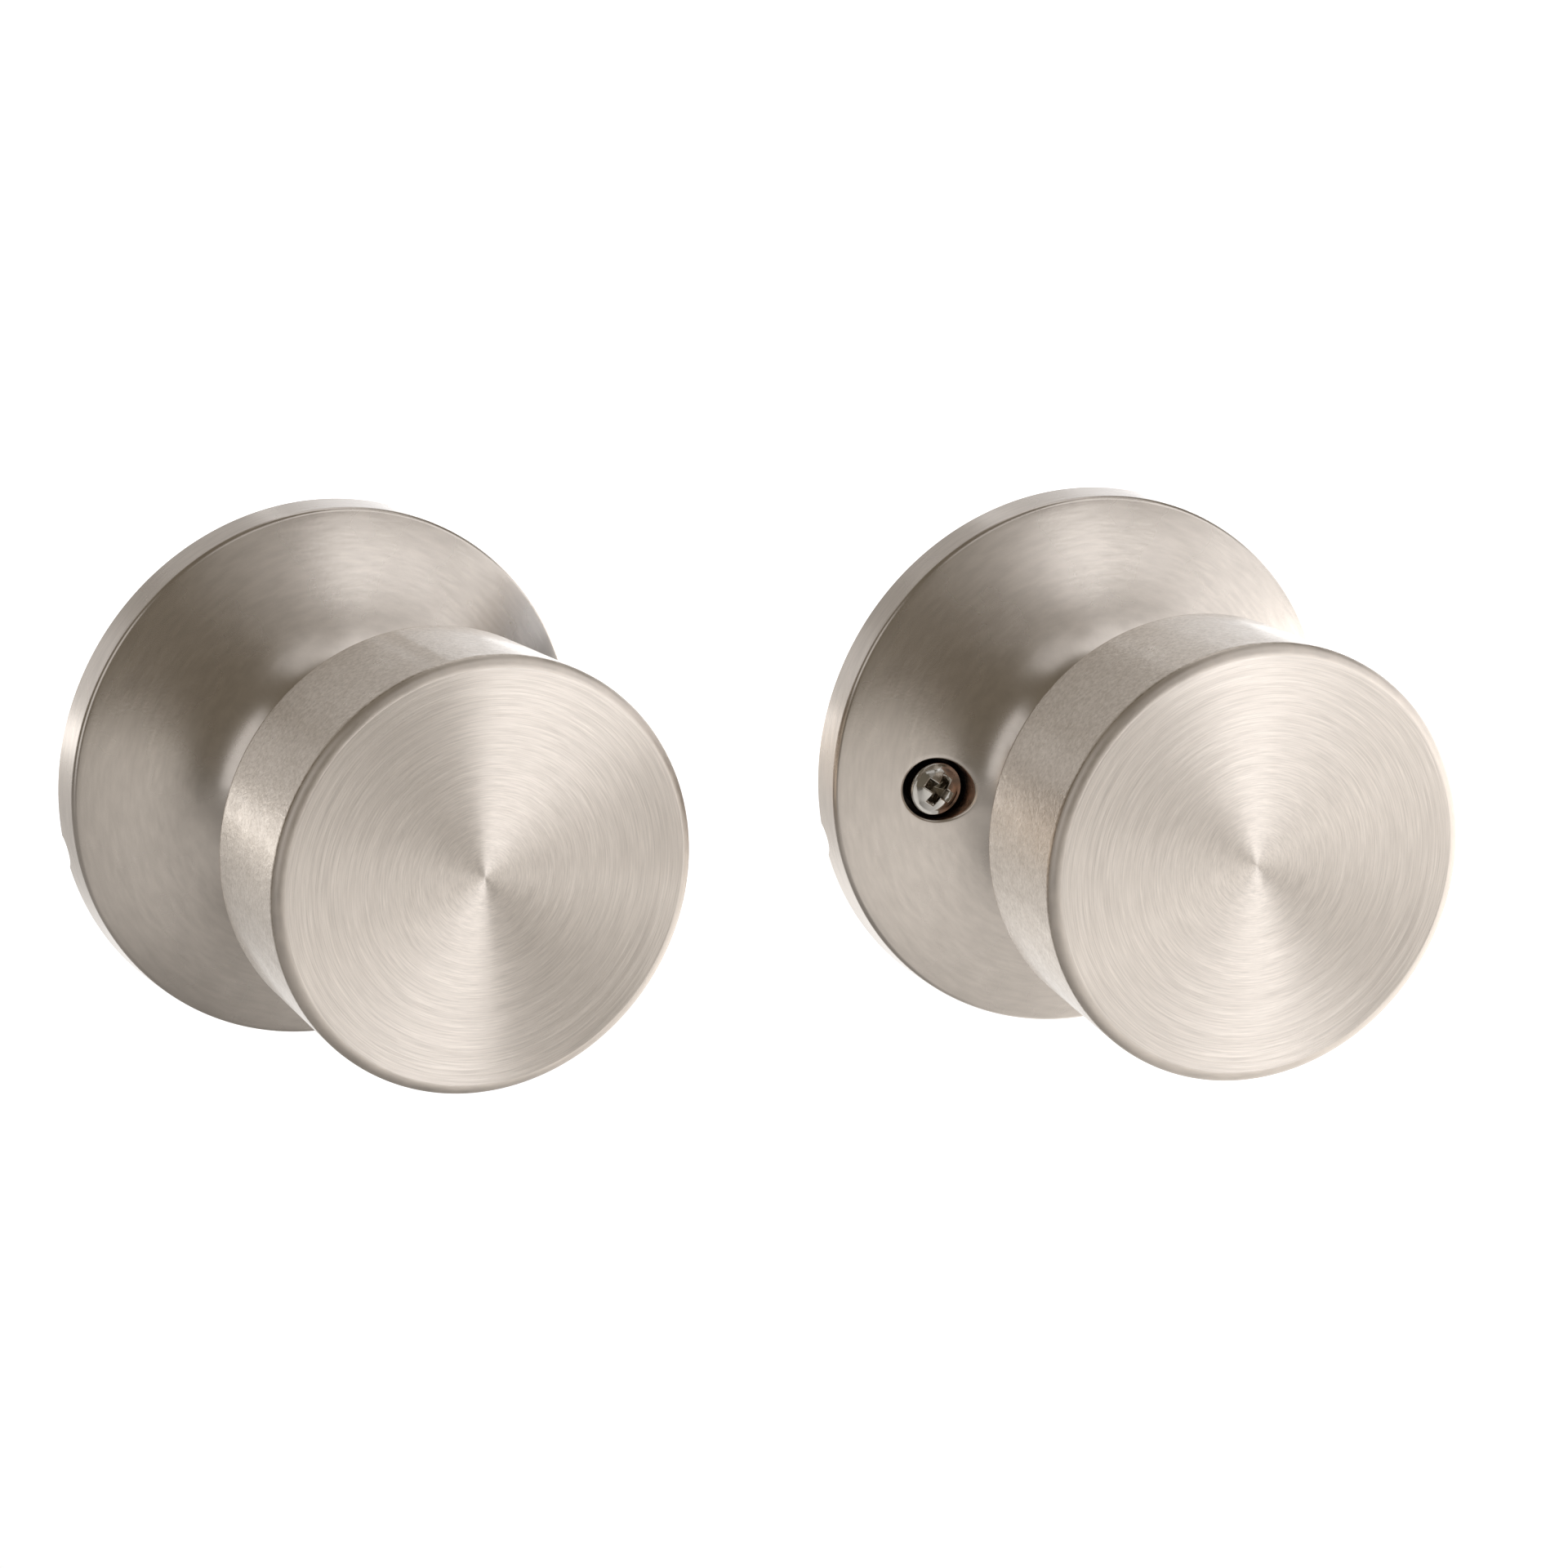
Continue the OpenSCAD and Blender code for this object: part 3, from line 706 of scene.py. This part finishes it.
class Shader:
    """A node material that is built up call by call."""

    def __init__(self, name, colour, metallic, roughness, **values):
        self.material = bpy.data.materials.new(name)
        self.material.use_nodes = True
        self.material.diffuse_color = (*colour, 1)
        self.tree = self.material.node_tree
        self.bsdf = self.tree.nodes["Principled BSDF"]
        self.bsdf.inputs["Base Color"].default_value = (*colour, 1)
        self.bsdf.inputs["Metallic"].default_value = metallic
        self.bsdf.inputs["Roughness"].default_value = roughness
        for socket, value in values.items():
            self.bsdf.inputs[socket.replace("_", " ")].default_value = value
        self.height = None

    def node(self, kind, **settings):
        """A new node with these settings."""
        made = self.tree.nodes.new(kind)
        for key, value in settings.items():
            setattr(made, key, value)
        return made

    def link(self, source, target):
        self.tree.links.new(source, target)

    def maths(self, operation, a, b=None):
        """A maths node on sockets or numbers."""
        made = self.node("ShaderNodeMath", operation=operation)
        for slot, value in zip(made.inputs, (a, b)):
            if value is None:
                continue
            if isinstance(value, (int, float)):
                slot.default_value = value
            else:
                self.link(value, slot)
        return made.outputs[0]

    def position(self):
        """Object coordinates, in metres."""
        return self.node("ShaderNodeTexCoord").outputs["Object"]

    def coordinates(self):
        """Object coordinates as three sockets."""
        split = self.node("ShaderNodeSeparateXYZ")
        self.link(self.position(), split.inputs[0])
        return split.outputs

    def radius(self, x, y):
        """Distance from the z axis."""
        squares = self.maths("ADD", self.maths("MULTIPLY", x, x), self.maths("MULTIPLY", y, y))
        return self.maths("SQRT", squares)

    def round_position(self, across, around, along):
        """Coordinates that stretch a texture round the z axis, given in cycles per metre."""
        x, y, z = self.coordinates()
        radius = self.maths("MAXIMUM", self.radius(x, y), 0.0001)
        depth = self.maths("ADD", self.maths("MULTIPLY", radius, across), self.maths("MULTIPLY", z, along))
        join = self.node("ShaderNodeCombineXYZ")
        self.link(depth, join.inputs[0])
        self.link(self.maths("MULTIPLY", self.maths("DIVIDE", x, radius), around), join.inputs[1])
        self.link(self.maths("MULTIPLY", self.maths("DIVIDE", y, radius), around), join.inputs[2])
        return join.outputs[0]

    def noise(self, vector, scale, detail=2.0, rough=0.5):
        """A noise texture, mostly between NOISE_LOW and NOISE_HIGH."""
        made = self.node("ShaderNodeTexNoise")
        made.inputs["Scale"].default_value = scale
        made.inputs["Detail"].default_value = detail
        made.inputs["Roughness"].default_value = rough
        self.link(vector, made.inputs["Vector"])
        return made.outputs[0]

    def spread(self, value, low, high, to_low, to_high):
        """Maps one range of a value to another, with the ends held."""
        made = self.node("ShaderNodeMapRange")
        self.link(value, made.inputs["Value"])
        for key, number in zip(("From Min", "From Max", "To Min", "To Max"), (low, high, to_low, to_high)):
            made.inputs[key].default_value = number
        return made.outputs[0]

    def tint(self, value, dark, light):
        """Colours the surface between two colours by a texture."""
        mix = self.node("ShaderNodeMix", data_type="RGBA")
        self.link(self.spread(value, NOISE_LOW, NOISE_HIGH, 0, 1), mix.inputs[0])
        mix.inputs[6].default_value = (*dark, 1)
        mix.inputs[7].default_value = (*light, 1)
        self.link(mix.outputs[2], self.bsdf.inputs["Base Color"])

    def roughen(self, value, low, high):
        """Varies the roughness between two values by a texture."""
        self.link(self.spread(value, NOISE_LOW, NOISE_HIGH, low, high), self.bsdf.inputs["Roughness"])

    def bump(self, value, distance):
        """Adds a layer of relief of this height in metres."""
        made = self.node("ShaderNodeBump")
        made.inputs["Strength"].default_value = 1.0
        made.inputs["Distance"].default_value = distance
        self.link(value, made.inputs["Height"])
        if self.height is not None:
            self.link(self.height, made.inputs["Normal"])
        self.height = made.outputs[0]
        self.link(self.height, self.bsdf.inputs["Normal"])

    def lacquer(self, weight, roughness, peel, per_metre):
        """A clear coat with an orange peel of this height in metres and this many bumps a metre."""
        self.bsdf.inputs["Coat Weight"].default_value = weight
        self.bsdf.inputs["Coat Roughness"].default_value = roughness
        self.bsdf.inputs["Coat IOR"].default_value = 1.5
        made = self.node("ShaderNodeBump")
        made.inputs["Distance"].default_value = peel
        self.link(self.noise(self.position(), per_metre, 2.0), made.inputs["Height"])
        self.link(made.outputs[0], self.bsdf.inputs["Coat Normal"])


def scaled(colour, factor):
    """A colour made lighter or darker."""
    return tuple(c * factor for c in colour)


NICKEL = (0.68, 0.61, 0.54)


def rose_nickel():
    """Satin nickel with faint arcs of brushing round the axis."""
    s = Shader("satin_nickel_rose", NICKEL, 1.0, 0.27)
    arcs = s.noise(s.round_position(2600, 9, 2600), 1.0, 3.0)
    cloud = s.noise(s.position(), 90.0, 3.0)
    s.tint(arcs, scaled(NICKEL, 0.93), scaled(NICKEL, 1.05))
    s.roughen(cloud, 0.25, 0.30)
    s.bump(arcs, 0.000008)
    s.bump(s.noise(s.position(), 2600.0, 2.0), 0.000004)
    s.lacquer(0.4, 0.16, 0.000003, 900.0)
    return s.material


def face_nickel():
    """Circular brushing on the flat face, which stretches highlights out from the centre."""
    s = Shader("satin_nickel_face", NICKEL, 1.0, 0.32, Anisotropic=1.0, Anisotropic_Rotation=0.25)
    tangent = s.node("ShaderNodeTangent", direction_type="RADIAL", axis="Z")
    s.link(tangent.outputs[0], s.bsdf.inputs["Tangent"])
    fine = s.noise(s.round_position(5200, 3, 0), 1.0, 3.0, 0.7)
    coarse = s.noise(s.round_position(1300, 1.4, 0), 1.0, 3.0)
    x, y = s.coordinates()[:2]
    margin = s.spread(s.radius(x, y), 0.0185, 0.0245, 0.0, 1.0)
    rings = s.maths("MULTIPLY", s.noise(s.round_position(1500, 1.5, 0), 1.0, 2.0, 0.6), margin)
    s.tint(fine, scaled(NICKEL, 0.84), scaled(NICKEL, 1.11))
    s.roughen(coarse, 0.30, 0.35)
    s.bump(fine, 0.000008)
    s.bump(coarse, 0.000005)
    s.bump(rings, 0.000045)
    s.lacquer(0.25, 0.20, 0.000003, 900.0)
    return s.material


def edge_nickel():
    """The rounded front edge, where the brushing fades into a duller satin."""
    s = Shader("satin_nickel_edge", NICKEL, 1.0, 0.48)
    rings = s.noise(s.round_position(3400, 12, 3400), 1.0, 3.0)
    s.tint(rings, scaled(NICKEL, 0.98), scaled(NICKEL, 1.12))
    s.roughen(rings, 0.45, 0.52)
    s.bump(rings, 0.000008)
    s.lacquer(0.2, 0.30, 0.000003, 900.0)
    return s.material


def side_nickel():
    """Fine orange-peel grain on the drawn side."""
    s = Shader("satin_nickel_side", NICKEL, 1.0, 0.30)
    grain = s.noise(s.position(), 1700.0, 2.0, 0.7)
    coarse = s.noise(s.position(), 420.0, 3.0)
    s.tint(grain, (0.53, 0.455, 0.375), (0.72, 0.635, 0.545))
    s.roughen(coarse, 0.27, 0.34)
    s.bump(grain, 0.000050)
    s.bump(coarse, 0.000015)
    s.lacquer(0.28, 0.10, 0.000018, 1300.0)
    return s.material


def cast_metal(name, colour, roughness):
    """Unfinished die casting, with a dull mottled skin; in near black it also serves as painted shade."""
    s = Shader(name, colour, 1.0, roughness)
    mottle = s.noise(s.position(), 320.0, 4.0, 0.6)
    s.tint(mottle, scaled(colour, 0.8), scaled(colour, 1.1))
    s.roughen(s.noise(s.position(), 900.0, 3.0), roughness - 0.08, roughness + 0.1)
    s.bump(s.noise(s.position(), 2400.0, 2.0), 0.00002)
    return s.material


def plated_metal(name, colour, roughness, bluish):
    """Bright zinc plate, with a faint change of hue and drawing marks."""
    s = Shader(name, colour, 1.0, roughness)
    s.tint(s.noise(s.position(), 140.0, 3.0), bluish, scaled(colour, 1.06))
    s.roughen(s.noise(s.position(), 500.0, 4.0, 0.6), roughness - 0.06, roughness + 0.08)
    s.bump(s.noise(s.position(), 1800.0, 3.0), 0.000012)
    return s.material


def wire_steel():
    """Oil-tempered spring wire, dark and smooth with draw lines."""
    s = Shader("spring_steel_skin", (0.30, 0.30, 0.32), 1.0, 0.34)
    marks = s.noise(s.position(), 1500.0, 4.0, 0.6)
    s.tint(marks, (0.22, 0.22, 0.235), (0.38, 0.38, 0.40))
    s.roughen(s.noise(s.position(), 300.0, 3.0), 0.26, 0.42)
    s.bump(marks, 0.00001)
    return s.material


def bush_nylon():
    """Natural nylon, a little translucent."""
    s = Shader("nylon_skin", (0.80, 0.79, 0.73), 0.0, 0.42, Subsurface_Weight=0.08, Subsurface_Scale=0.002)
    s.tint(s.noise(s.position(), 160.0, 3.0), (0.74, 0.73, 0.66), (0.83, 0.82, 0.77))
    s.roughen(s.noise(s.position(), 700.0, 3.0), 0.36, 0.5)
    s.bump(s.noise(s.position(), 1600.0, 3.0), 0.000015)
    return s.material


def screw_nickel():
    """Bright nickel plate on the screws, with small tool marks."""
    colour = (0.62, 0.59, 0.54)
    s = Shader("screw_nickel_skin", colour, 1.0, 0.10)
    s.tint(s.noise(s.position(), 700.0, 3.0), scaled(colour, 0.9), scaled(colour, 1.08))
    s.roughen(s.noise(s.position(), 1600.0, 3.0), 0.07, 0.15)
    s.bump(s.noise(s.position(), 900.0, 2.0), 0.000012)
    return s.material


def recess_painted_shade():
    """The walls of the cross recess: duller than the head, and coloured dark brown as painted shade."""
    # A dark brown that paints the shade inside the recess.
    colour = (0.30, 0.26, 0.20)
    s = Shader("screw_recess_painted_shade", colour, 1.0, 0.28)
    s.tint(s.noise(s.position(), 1400.0, 3.0), scaled(colour, 0.6), scaled(colour, 1.2))
    s.roughen(s.noise(s.position(), 2200.0, 3.0), 0.22, 0.36)
    s.bump(s.noise(s.position(), 1800.0, 2.0), 0.00002)
    return s.material


def copper_wall():
    """Copper underplate that shows on the wall of the screw's counterbore."""
    colour = (0.58, 0.37, 0.28)
    s = Shader("copper_underplate", colour, 1.0, 0.32)
    s.tint(s.noise(s.position(), 420.0, 3.0), (0.30, 0.24, 0.20), (0.66, 0.40, 0.29))
    s.roughen(s.noise(s.position(), 900.0, 3.0), 0.26, 0.42)
    s.bump(s.noise(s.position(), 1500.0, 3.0), 0.00002)
    return s.material


ROSE = rose_nickel()
FACE = face_nickel()
EDGE = edge_nickel()
SIDE = side_nickel()
ZINC = cast_metal("die_cast_zinc_skin", (0.50, 0.50, 0.51), 0.46)
INNER = cast_metal("shell_inside", (0.50, 0.47, 0.43), 0.45)
STEEL = plated_metal("zinc_plated_steel", (0.60, 0.61, 0.63), 0.28, (0.52, 0.55, 0.60))
SPRING = wire_steel()
NYLON = bush_nylon()
SCREW = screw_nickel()
RECESS_SHADE = recess_painted_shade()
COPPER = copper_wall()
# Near black: painted shade for the deep parts of the screw holes.
HOLE_SHADE = cast_metal("painted_hole_shade", (0.10, 0.09, 0.085), 0.5)

CAD_LOOKS = {
    "knob_core": ZINC, "core_pin": SPRING, "shank": STEEL, "mounting_plate": STEEL,
    "bearing_bush": NYLON, "drive_cam": STEEL, "snap_ring": SPRING,
}


# ---- Making the parts ----

def dress(node, material):
    """Gives a CAD node its material and soft machined edges."""
    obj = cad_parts[node]
    for slot in obj.material_slots:
        slot.material = material
    weld = obj.modifiers.new("weld", "WELD")
    weld.merge_threshold = 0.002 * MM
    flat = obj.modifiers.new("flat", "DECIMATE")
    flat.decimate_type = "DISSOLVE"
    flat.angle_limit = math.radians(0.4)
    bevel = obj.modifiers.new("bevel", "BEVEL")
    bevel.width = 0.12 * MM
    bevel.segments = 2
    bevel.limit_method = "ANGLE"
    bevel.angle_limit = math.radians(40)
    bevel.harden_normals = False
    obj.modifiers.new("normals", "WEIGHTED_NORMAL").keep_sharp = True


def make_half(side):
    """Every piece of one half, apart from the screws, the posts and the spindle."""
    body = side + "_knob"
    holes = (-SCREW_X, SCREW_X) if side == "inside" else ()
    rose = make_rose(side + "_rose_cover", holes, [ROSE, COPPER, INNER, HOLE_SHADE])
    place(rose, side, "trim", side + "_rose")
    drum = lathe(side + "_knob_drum", knob_shell_profile(), [FACE, EDGE, SIDE, INNER], knob_slot)
    place(drum, side, body, side + "_knob_shell")
    neck = lathe(side + "_knob_neck", knob_back_profile(), [ROSE])
    place(neck, side, body, side + "_knob_back")
    spring = make_spring(side + "_spring_wire", SPRING)
    spring.matrix_world = half_matrix(side)
    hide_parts(side + "_return_spring")
    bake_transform(spring)
    washer = lathe(side + "_washer_wave", washer_profile(), [SPRING], turns=180, wave=washer_wave)
    place(washer, side, body, side + "_wave_washer")
    for name, material in CAD_LOOKS.items():
        dress(side + "_" + name, material)


def make_screws():
    """The inside half's two screws, which replace one CAD node of two solids."""
    left = make_screw("mounting_screw_left", -SCREW_X, math.radians(53), [SCREW, RECESS_SHADE])
    place(left, "inside", "trim", "mounting_screws")
    right = make_screw("mounting_screw_right", SCREW_X, math.radians(15), [SCREW, RECESS_SHADE])
    place(right, "inside", "trim", None)


for side in SIDES:
    make_half(side)
make_screws()
dress("spindle", STEEL)
dress("mounting_posts", STEEL)


# ---- Studio ----

AZIMUTH = -24.52
ELEVATION = 16.56
LENS = 373.5
CAMERA_DISTANCE = 2.01
AIM_RIGHT = 0.05866
AIM_UP = -0.00284

# A tent of soft panels round the pair: azimuth, elevation and power of each
PANELS = [
    (-180, 5, 0.53), (-150, 5, 0.42), (-75, 5, 0.50), (30, 5, 1.05),
    (60, 5, 0.68), (90, 5, 0.80), (120, 5, 0.95), (150, 5, 0.68),
    (-180, 30, 0.23), (-150, 30, 0.17), (-75, 30, 0.44), (10, 30, 0.12),
    (40, 30, 0.30), (70, 30, 0.75), (155, 30, 0.32),
    (0, 55, 0.36), (50, 55, 0.64), (100, 55, 0.35), (150, 55, 0.50),
]
PANEL_SIZE = (0.46, 0.45)
COOL = (0.91, 0.94, 1.0)
WARM = (1.0, 0.88, 0.70)
WORLD_STRENGTH = 0.17

# How the floor glows: everywhere outside a ring round the pair, and more or less towards some sides.
# Each row of GLOWS has a direction, the distances along it where the change starts and is full, and
# its strength.
RING_START = 0.13
RING_END = 0.21
RING_GLOW = 0.24
GLOWS = [
    ((0.85, -0.53, 0.0), 0.00, 0.08, 0.33),
    ((0.82, 0.57, 0.0), 0.02, 0.11, 0.65),
    ((0.42, 0.91, 0.0), 0.50, 0.90, 0.50),
    ((-0.91, 0.42, 0.0), 0.14, 0.22, -0.20),
]
FLOOR_DROP = 0.13
FLOOR_HALF = 6.0

middle = (Vector(cad_box[0]) + Vector(cad_box[1])) / 2
middle.z = 0.0


def axes(azimuth, elevation):
    """The right, up and back directions of a view from this side and height."""
    a, e = math.radians(azimuth), math.radians(elevation)
    right = Vector((math.cos(a), math.sin(a), 0))
    up = Vector((-math.sin(a) * math.sin(e), math.cos(a) * math.sin(e), math.cos(e)))
    back = Vector((math.sin(a) * math.cos(e), -math.cos(a) * math.cos(e), math.sin(e)))
    return right, up, back


def facing(position, right, up, back):
    """The matrix of a camera or light at a position, looking against its back direction."""
    m = Matrix((right, up, back)).transposed().to_4x4()
    m.translation = position
    return m


def make_camera():
    """A long lens at the photo's angle, aimed between the two halves."""
    right, up, back = axes(AZIMUTH, ELEVATION)
    target = half_matrix("outside").translation + right * AIM_RIGHT + up * AIM_UP
    camera = bpy.data.objects.new("camera", bpy.data.cameras.new("camera"))
    camera.data.lens = LENS
    camera.data.sensor_width = 36
    camera.data.clip_end = 50
    camera.matrix_world = facing(target + back * CAMERA_DISTANCE, right, up, back)
    bpy.context.collection.objects.link(camera)
    bpy.context.scene.camera = camera


def soft_light(name, azimuth, elevation, distance, size, power):
    """A rectangular softbox that faces the pair from a direction seen from it."""
    right, up, back = axes(azimuth, elevation)
    data = bpy.data.lights.new(name, "AREA")
    data.shape = "RECTANGLE"
    data.size, data.size_y = size
    data.energy = power
    data.color = COOL
    light = bpy.data.objects.new(name, data)
    light.matrix_world = facing(middle + back * distance, right, up, back)
    light.visible_camera = False
    bpy.context.collection.objects.link(light)


def make_world():
    """A weak warm light from everywhere."""
    world = bpy.data.worlds.new("studio")
    world.use_nodes = True
    background = world.node_tree.nodes["Background"]
    background.inputs[0].default_value = (*WARM, 1)
    background.inputs[1].default_value = WORLD_STRENGTH
    bpy.context.scene.world = world


def floor_white():
    """Plain matt white, with a soft glow that differs from side to side."""
    s = Shader("studio_floor", (0.60, 0.60, 0.60), 0.0, 0.9)
    s.tint(s.noise(s.position(), 3.0, 2.0), (0.59, 0.59, 0.59), (0.61, 0.61, 0.61))
    distance = s.node("ShaderNodeVectorMath", operation="LENGTH")
    s.link(s.position(), distance.inputs[0])
    glow = s.spread(distance.outputs["Value"], RING_START, RING_END, 0.0, RING_GLOW)
    for direction, start, end, strength in GLOWS:
        along = s.node("ShaderNodeVectorMath", operation="DOT_PRODUCT")
        s.link(s.position(), along.inputs[0])
        along.inputs[1].default_value = direction
        glow = s.maths("ADD", glow, s.spread(along.outputs["Value"], start, end, 0.0, strength))
    s.link(glow, s.bsdf.inputs["Emission Strength"])
    s.bsdf.inputs["Emission Color"].default_value = (1, 1, 1, 1)
    return s.material


def make_floor():
    """A wide pale floor, a little below the pair."""
    bm = bmesh.new()
    bmesh.ops.create_grid(bm, x_segments=8, y_segments=8, size=FLOOR_HALF)
    mesh = bpy.data.meshes.new("studio_floor")
    bm.to_mesh(mesh)
    bm.free()
    mesh.materials.append(floor_white())
    floor = bpy.data.objects.new("studio_floor", mesh)
    floor.location = (middle.x, middle.y, cad_box[0][2] - FLOOR_DROP)
    bpy.context.collection.objects.link(floor)


make_camera()
for number, (azimuth, elevation, power) in enumerate(PANELS):
    soft_light("panel_%02d" % number, azimuth, elevation, 1.0, PANEL_SIZE, power)
soft_light("strip", 25, 12, 1.0, (0.22, 0.62), 0.36)
soft_light("strip_low", 25, -7, 0.8, (0.16, 0.12), 0.08)
make_world()
make_floor()
bpy.context.scene.view_settings.view_transform = "Standard"
